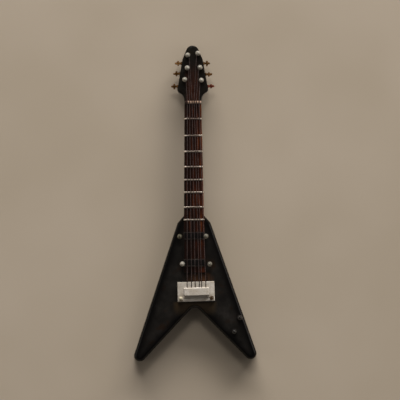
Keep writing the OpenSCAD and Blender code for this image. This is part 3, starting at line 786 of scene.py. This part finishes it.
BODY_LACQUER, NECK_LACQUER, BOARD_WOOD, FRET_WIRE = body_look(), neck_look(), board_look(), fret_look()
NUT_BONE = white_look("nut bone", srgb(160, 134, 118), srgb(112, 88, 71), srgb(54, 34, 26), 2.0, "groove")
BRIDGE_WHITE = white_look("bridge white", srgb(188, 181, 172), srgb(172, 162, 148), srgb(132, 114, 94), 5.0,
                          strings=[on_plate(BAR_X + s * BAR_W / 2, BAR_FRONT + 1).x for s in BAR_SHARES])
STRING_WIRE = string_look()
KEY_BRASS = metal_look("key brass", srgb(160, 118, 72), srgb(102, 74, 42), srgb(52, 36, 20), 0.42, 0.6, 7.0)
KEY_COPPER = metal_look("key copper", srgb(172, 98, 80), srgb(124, 66, 52), srgb(74, 38, 30), 0.42, 0.6, 9.0)
RIM_METAL = metal_look("rim metal", srgb(96, 91, 86), srgb(64, 58, 54), srgb(38, 31, 27), 0.36, 0.52, 3.0)
PIN_STEEL = pearl_look("pin steel", srgb(186, 183, 174), srgb(140, 135, 124), srgb(94, 82, 62), 1.0)
PIN_DULL = pearl_look("pin steel dulled", srgb(160, 157, 148), srgb(112, 108, 95), srgb(82, 71, 50),
                      3.0, 0.75)
PIN_TARNISHED = pearl_look("pin steel tarnished", srgb(120, 117, 100), srgb(84, 80, 64), srgb(62, 54, 36),
                           7.0, 0.75)
PIN_PEARL = pearl_look("pin pearl", srgb(184, 176, 158), srgb(156, 148, 126), srgb(104, 92, 70), 6.0, 0.3)
PIN_BRONZE = metal_look("pin bronze", srgb(138, 117, 96), srgb(96, 79, 65), srgb(52, 41, 34), 0.3, 0.46, 2.0)
PICKUP_BLACK = plastic_look("pickup black", srgb(8, 6, 6), srgb(19, 15, 14), 0.36, 0.5, 3.0, 0.0)
# The knobs' pale scuff colour is partly real scuffing and partly a painted highlight on the black domes.
KNOB_BLACK = plastic_look("knob black", srgb(13, 12, 12), srgb(52, 48, 45), 0.1, 0.2, 8.0, 0.8)

# ---- body


def pin_hole(name, diameter, shank):
    place = ball_of(name, diameter)
    return place.x, place.y, shank / 2 + 0.05, PIN_DEPTH + 0.1


def hand_worn(x, y):
    """How far the body's face lies under its highest plane: a hand-sanded surface."""
    return 0.05 * wave(x * 0.13, y * 0.13, 4.2) + 0.012 * abs(
        noise.noise(Vector((x * 0.7, y * 0.3, 1.1)))
    )


holes = [pin_hole(f"pickup_pin_{i}", BALL_D, PIN_D) for i in (1, 2, 3, 4)]
holes += [pin_hole(f"bridge_pin_{i}", BRIDGE_BALL_D, PIN_D) for i in (1, 2)]
body = raw_object("body_piece", slab(BODY_DISCS, 0, TOP_Z, 0.6, 1.1, 8, 0.62, holes, hand_worn))
combine(body, block((-TENON_W / 2 - GLUE_GAP, BODY_Y - TENON_L - GLUE_GAP, TOP_Z - TENON_T - GLUE_GAP),
                    (TENON_W / 2 + GLUE_GAP, BODY_Y + PAST, TOP_Z + PAST), 0), "DIFFERENCE")
for i in (1, 2):
    low, high = box(f"control_knob_{i}")
    drill(body, (low.x + high.x) / 2, (low.y + high.y) / 2, KNOB_BORE_R, low.z - RUN_GAP, TOP_Z + PAST)
outline = split(belt(BODY_DISCS), 1.0)
rims = rim_distance([v.co.xy for v in body.data.vertices], outline)
rims += np.array([0.0 if v.co.z > TOP_Z - 1.2 else -0.5 for v in body.data.vertices])
point_values(body, "rim", np.maximum(rims, 0).astype(np.float32))
finished(body, "body", BODY_LACQUER, sharp=40)

# ---- neck and headstock

shaft = []
back_r, heel_r = NUT_W / 2 + BACK_SPARE, board_half(BODY_Y) + BACK_SPARE
centre_z = TOP_Z - NECK_DEPTH + back_r
for k in range(41):
    y = BODY_Y - 0.9 + (NUT_Y + NUT_T / 2 - BODY_Y + 0.9) * k / 40
    share = min(1.0, max(0.0, (y - BODY_Y) / (NUT_Y + NUT_T / 2 - BODY_Y)))
    half = board_half(BODY_Y) + (NUT_W / 2 - board_half(BODY_Y)) * share
    r = heel_r + (back_r - heel_r) * share
    reach = asin(min(1.0, half / r))
    section = [(-half, y, TOP_Z), (-half, y, TOP_Z - 0.45)]
    section += [(r * sin(a), y, centre_z - r * cos(a))
                for a in (-reach + 2 * reach * i / 22 for i in range(23))]
    shaft.append(section + [(half, y, TOP_Z - 0.45), (half, y, TOP_Z)])
post_holes = []
for i in range(1, 7):
    p = ball_of(f"tuning_post_{i}", BALL_D)
    along = (p.y - NUT_Y) * cos(HEAD_TILT) - (p.z - TOP_Z) * sin(HEAD_TILT)
    post_holes.append((p.x, along, PIN_D / 2 + GLUE_GAP, PIN_DEPTH + 0.05))
head = slab(HEAD_DISCS, -HEAD_T, 0, 0.45, 0.45, 6, 0.55, post_holes,
            lambda x, y: 0.04 * wave(x * 0.3, y * 0.3, 9.0))
neck = raw_object("neck_piece", ([tuple(from_head(*v)) for v in head[0]], head[1]))
combine(neck, loft(shaft), "UNION")
combine(neck, block((-TENON_W / 2, BODY_Y - TENON_L, TOP_Z - TENON_T),
                    (TENON_W / 2, BODY_Y + 0.5, TOP_Z - 0.01), 0), "UNION")
key_frames = []
TILT = Matrix.Rotation(-HEAD_TILT, 4, "X")
for i in range(1, 7):
    # The key's own x runs outwards along its shank, from its joint at the collar's inner face.
    side = -1 if i < 4 else 1
    start = Vector(JOINTS[f"key_{i}_turn"]["pos_m"]) / MM
    turn = Euler((side * radians(KEY_TURNS[i - 1]), 0, pi if side < 0 else 0)).to_matrix().to_4x4()
    key_frames.append(Matrix.Translation(start) @ (TILT @ turn))
bores = []
for place in key_frames:
    bore = lathe([(KEY_D / 2 + RUN_GAP, -KEY_DEPTH - 0.6), (KEY_D / 2 + RUN_GAP, 0.6)], HOLE_SIDES)
    bores.append(moved(bore, place @ Matrix.Rotation(pi / 2, 4, "Y")))
combine(neck, together(*bores), "DIFFERENCE")
finished(neck, "neck", NECK_LACQUER, sharp=34)

# ---- fretboard, frets and nut

sections = []
front, back = NUT_Y - NUT_T / 2, NUT_Y + NUT_T / 2
stations = [0.0, 0.05, 0.14, 0.28, *np.arange(1.0, front - BOARD_END_Y, 0.9), front - BOARD_END_Y]
for s in stations:
    y = BOARD_END_Y + float(s)
    drop = 0.16 * (1 - sqrt(1 - (1 - min(1.0, s / 0.28)) ** 2)) if s < 0.28 else 0.0
    half = board_half(y) - 0.03 * wave(0, y * 0.4, 2)
    top = BOARD_Z - drop - 0.02 * wave(3, y * 0.3, 2)
    edge = 0.17
    curve = [(edge * (1 - cos(a)), top - edge * (1 - sin(a))) for a in QUARTER]
    section = [(-half, y, TOP_Z), (-half, y, top - edge)] + [(-half + d, y, z) for d, z in curve[1:]]
    sections.append(section + [(half - d, y, z) for d, z in curve[::-1]] + [(half, y, TOP_Z)])
finished(raw_object("fretboard_piece", loft(sections)), "fretboard", BOARD_WOOD, sharp=50)

for i in range(1, 9):
    low, high = box(f"fret_{i}")
    y, reach = (low.y + high.y) / 2, (high.x - low.x) / 2
    crown = []
    ends = [0.0, 0.02, 0.06, 0.13, 0.22, 0.34]
    xs = [-reach + e for e in ends]
    xs += list(np.linspace(-reach + 0.8, reach - 0.8, 9)) + [reach - e for e in ends[::-1]]
    for x in xs:
        d = min(reach - abs(x), 0.34) / 0.34
        size = sqrt(max(0.0, 1 - (1 - d) ** 2)) * 0.92 + 0.08
        sway = 0.02 * noise.noise(Vector((x * 0.8, i * 3.3, 0)))
        width = FRET_W / 2 * (0.7 + 0.3 * size)
        crown.append([
            (x, y + sway - width * cos(a), BOARD_Z - 0.03 + (FRET_H + 0.03) * size * sin(a) ** 0.9)
            for a in (pi * k / 12 for k in range(13))
        ])
    tang = reach - FRET_OVER + 0.01
    tang = block((-tang, y - 0.1, BOARD_Z - 0.35), (tang, y + 0.1, BOARD_Z + 0.1), 0.02, 1)
    finished(raw_object("fret", together(loft(crown), tang)), f"fret_{i}", FRET_WIRE, sharp=50)

string_z = NUT_HIGH.z - 0.3
starts = [Vector((share * NUT_W / 2, NUT_Y, string_z)) for share in NUT_SHARES]
steps = (0, 0.045, 0.09, 0.13, 0.16, 0.19)
xs = sorted(set(
    [side * (NUT_W / 2 - e) for e in (0, 0.03, 0.09, 0.18) for side in (-1, 1)]
    + [round(p.x + side * d, 4) for p in starts for d in steps for side in (-1, 1)
       if abs(p.x + side * d) < NUT_W / 2 - 0.02]
    + [(a.x + b.x) / 2 for a, b in zip(starts, starts[1:])]
))
rows = []
for x in xs:
    near = min(abs(x - p.x) for p in starts)
    cut = string_z - 0.13
    top = NUT_HIGH.z - 0.02 * wave(x * 2, 0, 5)
    if near < 0.19:
        cup = cut + 0.15 - sqrt(max(0.0, 0.15 ** 2 - min(near, 0.15) ** 2))
        top = min(top, cup if near < 0.15 else cup + (near - 0.15) / 0.04 * 0.4)
    side = min(1.0, (NUT_W / 2 - abs(x)) / 0.18)
    drop = 0.16 * (1 - sqrt(max(0.0, 1 - (1 - side) ** 2)))
    curve = [(0.2 * (1 - cos(a)), top - drop - 0.2 * (1 - sin(a))) for a in QUARTER]
    row = [(x, front, TOP_Z), (x, front, top - drop - 0.22)] + [(x, front + d, z) for d, z in curve[1:]]
    row += [(x, back - d, z) for d, z in curve[:0:-1]]
    rows.append(row + [(x, back, top - drop - 0.22), (x, back, TOP_Z)])
nut = raw_object("nut_piece", loft(rows))
# The nut is darker along its string grooves and over its left end.
darkening = [max(1.0 - min(abs(v.co.x - p.x) for p in starts) / 0.3, 1.0 if v.co.x < starts[0].x else 0.0)
        for v in nut.data.vertices]
point_values(nut, "groove", darkening)
finished(nut, "nut", NUT_BONE, sharp=45)

# ---- strings and posts

wrap_pitch = STRING_D + STRING_GAP
wrap_top = wrap_pitch * WRAPS + STRING_D / 2 + STRING_GAP
wrap_r = (PIN_D + STRING_D) / 2 + GLUE_GAP
posts = [post_holes[i][:2] for i in range(6)]
for i in range(6):
    end = on_plate(BAR_X + BAR_SHARES[i] * BAR_W / 2, BAR_FRONT - SLOT_DEPTH / 2, PLATE_T + SLOT_Z)
    start = starts[i]
    px, py = posts[STRING_POSTS[i]]
    side = -1 if STRING_POSTS[i] < 3 else 1
    path = [end + (start - end) * k / 24 for k in range(24)]
    path.append(start + (start - end).normalized() * -NUT_T / 2)
    path.append(from_head(start.x, NUT_T / 2 + STRING_D, string_z - TOP_Z - STRING_GAP))
    first = from_head(px - side * wrap_r, py, wrap_top)
    last = path[-1]
    path += [last.lerp(first, k / 6) for k in range(1, 6)]
    turns = int(36 * WRAPS)
    for k in range(turns + 1):
        a = tau * WRAPS * k / turns
        path.append(from_head(px - side * wrap_r * cos(a), py + wrap_r * sin(a),
                              wrap_top - wrap_pitch * WRAPS * k / turns))
    wire = raw_object("string", tube(path, STRING_D / 2))
    finished(wire, f"string_{i + 1}", STRING_WIRE, sharp=60)


def ball_pin(diameter, lift, seed):
    """A pin with its slightly uneven ball head on the origin, over a tapered collar of glue."""
    r, shank, low = diameter / 2, PIN_D / 2, -lift - PIN_DEPTH
    join = degrees(asin(-sqrt(1 - (shank * 1.25 / r) ** 2)))
    profile = [(0, low), (shank * 0.7, low), (shank, low + 0.12), (shank, -r - 0.12), (shank * 1.08, -r - 0.02)]
    verts, faces = lathe(profile + arc(0, 0, r, join, 82, 22) + [(0, r)])
    for i, v in enumerate(verts):
        if Vector(v).length <= r + 1e-6:
            dent = 0.02 * wave(*(Vector(v) * 1.3 + Vector((seed, seed, 0))))
            verts[i] = tuple(Vector(v) * (1 - dent))
    return verts, faces


for i in range(1, 7):
    centre = ball_of(f"tuning_post_{i}", BALL_D)
    lift = wrap_top + STRING_D / 2 + STRING_GAP + BALL_D / 2
    post = raw_object("post", moved(ball_pin(BALL_D, lift, i * 2.0), Matrix.Translation(centre) @ TILT))
    finished(post, f"tuning_post_{i}", PIN_STEEL)
for i in range(1, 5):
    centre = ball_of(f"pickup_pin_{i}", BALL_D)
    pin = raw_object("pin", shifted(ball_pin(BALL_D, centre.z - TOP_Z, 20 + i * 2.0), *centre))
    look = (PIN_TARNISHED, PIN_DULL, PIN_STEEL, PIN_DULL)[i - 1]
    finished(pin, f"pickup_pin_{i}", look)
for i, look, slot_name in ((1, PIN_PEARL, "pin_pearl"), (2, PIN_BRONZE, "pin_bronze")):
    centre = ball_of(f"bridge_pin_{i}", BRIDGE_BALL_D)
    pin = raw_object("pin", shifted(ball_pin(BRIDGE_BALL_D, centre.z - TOP_Z, 40 + i * 2.0), *centre))
    finished(pin, f"bridge_pin_{i}", look)

# ---- keys

for i in range(1, 7):
    lobe, stem = KEY_W * KEY_LOBES[1][2], KEY_D * 0.35
    low = [(KEY_L - a * KEY_W, -b * KEY_W, c * KEY_W, 10) for a, b, c in KEY_LOBES]
    outline = belt([(-COLLAR_T / 2, -stem, 0.05, 3), *low, (KEY_L - lobe, 0, lobe, 16),
                    *[(x, -y, r, n) for x, y, r, n in low[::-1]], (-COLLAR_T / 2, stem, 0.05, 3)])
    levels = ((0.75, -0.5), (0.94, -0.4), (1.0, -0.22), (1.0, 0.22), (0.94, 0.4), (0.75, 0.5))
    button = shifted(loft([[(x, y * s, KEY_T * z) for x, y in outline] for s, z in levels]), COLLAR_T)
    bead = lathe([(0, -0.3)] + arc(0, 0, 0.3, -75, 75, 10) + [(0, 0.3)], 24)
    bead = shifted(bead, low[1][0] + COLLAR_T)
    turn = Matrix.Rotation(pi / 2, 4, "Y")
    r = KEY_D / 2
    shank = [(0, -KEY_DEPTH), (r - 0.08, -KEY_DEPTH), (r, -KEY_DEPTH + 0.1), (r, COLLAR_T * 1.4),
             (0, COLLAR_T * 1.4)]
    r = COLLAR_D / 2
    collar = [(0, 0), (r - 0.06, 0), (r, 0.07), (r, COLLAR_T - 0.07), (r - 0.08, COLLAR_T),
              (0, COLLAR_T + 0.02)]
    turned = [moved(lathe(profile, 36), turn) for profile in (shank, collar)]
    key = raw_object("key", together(*turned, button, bead))
    fuse(key, 0.05, 2)
    for v in key.data.vertices:
        if v.co.x > COLLAR_T:
            v.co += wander(v.co * 1.6 + Vector((i * 5.0, 0, 0))) * 0.05
    key.data.transform(key_frames[i - 1])
    look, slot_name = (KEY_COPPER, "key_copper") if i == 4 else (KEY_BRASS, "key_brass")
    finished(key, f"tuning_key_{i}", look, f"key_{i}", sharp=70)

# ---- pickups, rims, bridge and knobs

for name in ("neck_pickup", "bridge_pickup"):
    low, high = box(name)
    pickup = raw_object(name, block(low, high, 0.12, 4, 0.012, 3.0 if name[0] == "n" else 8.0))
    finished(pickup, name, PICKUP_BLACK, sharp=50)
    low, high = box(name + "_rim")
    middle, half = (low + high) / 2, (high - low) / 2
    wall = 0.22
    loop = []
    for k, (sx, sy) in enumerate(((1, -1), (1, 1), (-1, 1), (-1, -1))):
        loop += [(middle.x + sx * (half.x - wall) + wall * cos(a),
                  middle.y + sy * (half.y - wall) + wall * sin(a))
                 for a in (pi / 2 * (k - 1 + j / 6) for j in range(7))]
    verts = []
    edge = [(0, low.z), (0, high.z - 0.07), (0.02, high.z - 0.03), (0.07, high.z)]
    for inset, z in edge + [(wall - d, z) for d, z in edge[::-1]]:
        verts += [(middle.x + (x - middle.x) * (half.x - inset) / half.x,
                   middle.y + (y - middle.y) * (half.y - inset) / half.y, z) for x, y in loop]
    shape = verts, [tuple(i % len(verts) for i in f) for f in bands(len(loop), 2 * len(edge) + 1)]
    # A bead of solder closes the wire at each left corner.
    for sy in (-1, 1):
        bead = lathe([(0, -0.15)] + arc(0, 0, 0.19, -60, 70, 8) + [(0, 0.18)], 20)
        bead = shifted(bead, middle.x - half.x + 0.3, middle.y + sy * (half.y - 0.19), high.z - 0.08)
        shape = together(shape, bead)
    finished(raw_object(name + "_rim", shape), name + "_rim", RIM_METAL, sharp=60)

at_plate = Matrix.Translation((PLATE_MID.x, PLATE_MID.y, TOP_Z)) @ Matrix.Rotation(PLATE_TURN, 4, "Z")
px, py = PLATE_W / 2 - 0.02, PLATE_L / 2 - 0.02
plate = raw_object("plate", block((-px, -py, 0), (px, py, PLATE_T - 0.01), 0.1, 3, 0.02, 4.0))
for i in (1, 2):
    centre = at_plate.inverted() @ ball_of(f"bridge_pin_{i}", BRIDGE_BALL_D)
    drill(plate, centre.x, centre.y, PIN_D / 2 + 0.04, -PAST, PLATE_T + PAST)
plate.data.transform(at_plate)
finished(plate, "bridge_plate", BRIDGE_WHITE, sharp=45)

left, right = BAR_X - BAR_W / 2, BAR_X + BAR_W / 2
bar = raw_object("bar", block((left, BAR_FRONT - BAR_L, PLATE_T), (right, BAR_FRONT, PLATE_T + BAR_H),
                              0.26, 6, 0.015, 9.0))
slot_z, slot_h = PLATE_T + SLOT_Z, STRING_D + 2 * STRING_GAP
combine(bar, block((left + 0.5, BAR_FRONT - SLOT_DEPTH, slot_z - slot_h / 2),
                   (right - 0.5, BAR_FRONT + PAST, slot_z + slot_h / 2), 0.05, 2), "DIFFERENCE")
# In triangles, so that no two faces fold onto one another along the slot.
bar.modifiers.new("facets", "TRIANGULATE")
apply_modifiers(bar)
bar.data.transform(at_plate)
finished(bar, "bridge_bar", BRIDGE_WHITE, sharp=45)

for i in (1, 2):
    low, high = box(f"control_knob_{i}")
    middle = (low + high) / 2
    r, skirt = (high.x - low.x) / 2, 0.3
    base = TOP_Z + RUN_GAP
    dome_top = high.z - base
    dome = [((r - 0.09) * cos(a), skirt + (dome_top - skirt) * sin(a))
            for a in (pi / 2 * k / 14 for k in range(1, 14))]
    profile = [(0, -1.7), (0.29, -1.7), (0.35, -1.62), (0.35, 0), (r - 0.05, 0), (r, 0.05), (r, skirt - 0.05),
               (r - 0.03, skirt), (r - 0.09, skirt + 0.01), *dome, (0, dome_top)]
    verts, faces = lathe(profile, 96)
    shaped = []
    for x, y, z in verts:
        a, d = atan2(y, x), hypot(x, y)
        if d > r - 0.06 and z >= 0:
            s = 1 - 0.025 * (0.5 + 0.5 * cos(a * 24))
            x, y = x * s, y * s
        if z > skirt and abs(remainder(a - pi / 2, tau)) < 0.14 and d > 0.25:
            z -= 0.03
        shaped.append((x, y, z))
    knob = raw_object("knob", shifted((shaped, faces), middle.x, middle.y, base))
    finished(knob, f"control_knob_{i}", KNOB_BLACK, f"knob_{i}", sharp=45)

# ---- floor, light and camera

bm = bmesh.new()
bmesh.ops.create_grid(bm, x_segments=24, y_segments=24, size=1.5)
floor_mesh = bpy.data.meshes.new("floor")
bm.to_mesh(floor_mesh)
bm.free()
floor = in_scene("floor", floor_mesh)
floor.location.z = CAD_LOW.z - 0.00005
paint = Look("floor", Roughness=0.9)
tint = paint.step(paint.noise(0.02, 2), 0.3, 0.7)
floor.data.materials.append(paint.done(paint.mix(tint, srgb(171, 158, 142), srgb(165, 152, 135))))
floor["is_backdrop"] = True

world = bpy.data.worlds.new("room")
bpy.context.scene.world = world
world.use_nodes = True
nodes, links = world.node_tree.nodes, world.node_tree.links
room = nodes["Background"]
room.inputs["Color"].default_value = (1.0, 0.97, 0.93, 1)
room.inputs["Strength"].default_value = 0.08
# The walls that a view or a reflection shows are as pale as the floor, under a dim ceiling. They shed no
# diffuse light.
height, band = nodes.new("ShaderNodeSeparateXYZ"), nodes.new("ShaderNodeValToRGB")
shown = nodes.new("ShaderNodeBackground")
links.new(nodes.new("ShaderNodeTexCoord").outputs["Generated"], height.inputs[0])
links.new(height.outputs[2], band.inputs[0])
stops = (0.35, srgb(150, 140, 126)), (0.75, srgb(78, 74, 70))
for element, (at, colour) in zip(band.color_ramp.elements, stops):
    element.position, element.color = at, (*colour, 1)
links.new(band.outputs[0], shown.inputs["Color"])
rays, seen = nodes.new("ShaderNodeLightPath"), nodes.new("ShaderNodeMath")
choice, either = nodes.new("ShaderNodeMixShader"), nodes.new("ShaderNodeMath")
either.operation = seen.operation = "MAXIMUM"
links.new(rays.outputs["Is Camera Ray"], either.inputs[0])
links.new(rays.outputs["Is Glossy Ray"], either.inputs[1])
links.new(either.outputs[0], seen.inputs[0])
links.new(rays.outputs["Is Transmission Ray"], seen.inputs[1])
links.new(seen.outputs[0], choice.inputs[0])
links.new(room.outputs[0], choice.inputs[1])
links.new(shown.outputs[0], choice.inputs[2])
links.new(choice.outputs[0], nodes["World Output"].inputs["Surface"])


def lamp(name, place, size, watts, colour, glossy=True):
    """A soft rectangular lamp that faces the guitar."""
    light = bpy.data.lights.new(name, "AREA")
    light.shape, light.size, light.size_y, light.energy, light.color = "RECTANGLE", *size, watts, colour
    obj = in_scene(name, light)
    obj.location = place
    obj.rotation_euler = (-Vector(place)).to_track_quat("-Z", "Y").to_euler()
    obj.visible_glossy = glossy


# The low window lights the guitar but isn't mirrored in it at full strength: its glow is.
WINDOW, WINDOW_SIZE, DAYLIGHT = (0.58, 3.55, 0.84), (4.6, 1.4), (1.0, 0.975, 0.94)
lamp("low window", WINDOW, WINDOW_SIZE, 430.0, DAYLIGHT, False)
lamp("window glow", WINDOW, WINDOW_SIZE, 24.0, DAYLIGHT)
lamp("high window", (-0.02, 0.42, 0.42), (0.14, 0.14), 0.75, (1.0, 0.97, 0.93))
lamp("right wall", (0.52, 0.05, 0.3), (0.3, 0.3), 0.36, (1.0, 0.95, 0.89))
lamp("left wall", (-0.5, -0.05, 0.3), (0.3, 0.3), 0.2, (1.0, 0.94, 0.86))

camera = bpy.data.cameras.new("camera")
eye = in_scene("camera", camera)
HEIGHT, VIEW = 0.7, 0.1276
camera.sensor_width = 36
camera.lens = 36 * HEIGHT / VIEW
camera.clip_start, camera.clip_end = 0.01, 10
eye.location = (0.00197, 0.00099, 0.004 + HEIGHT)
eye.rotation_euler = (0, 0, radians(-0.55))
bpy.context.scene.camera = eye
bpy.context.scene.view_settings.view_transform = "Standard"

low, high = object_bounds()
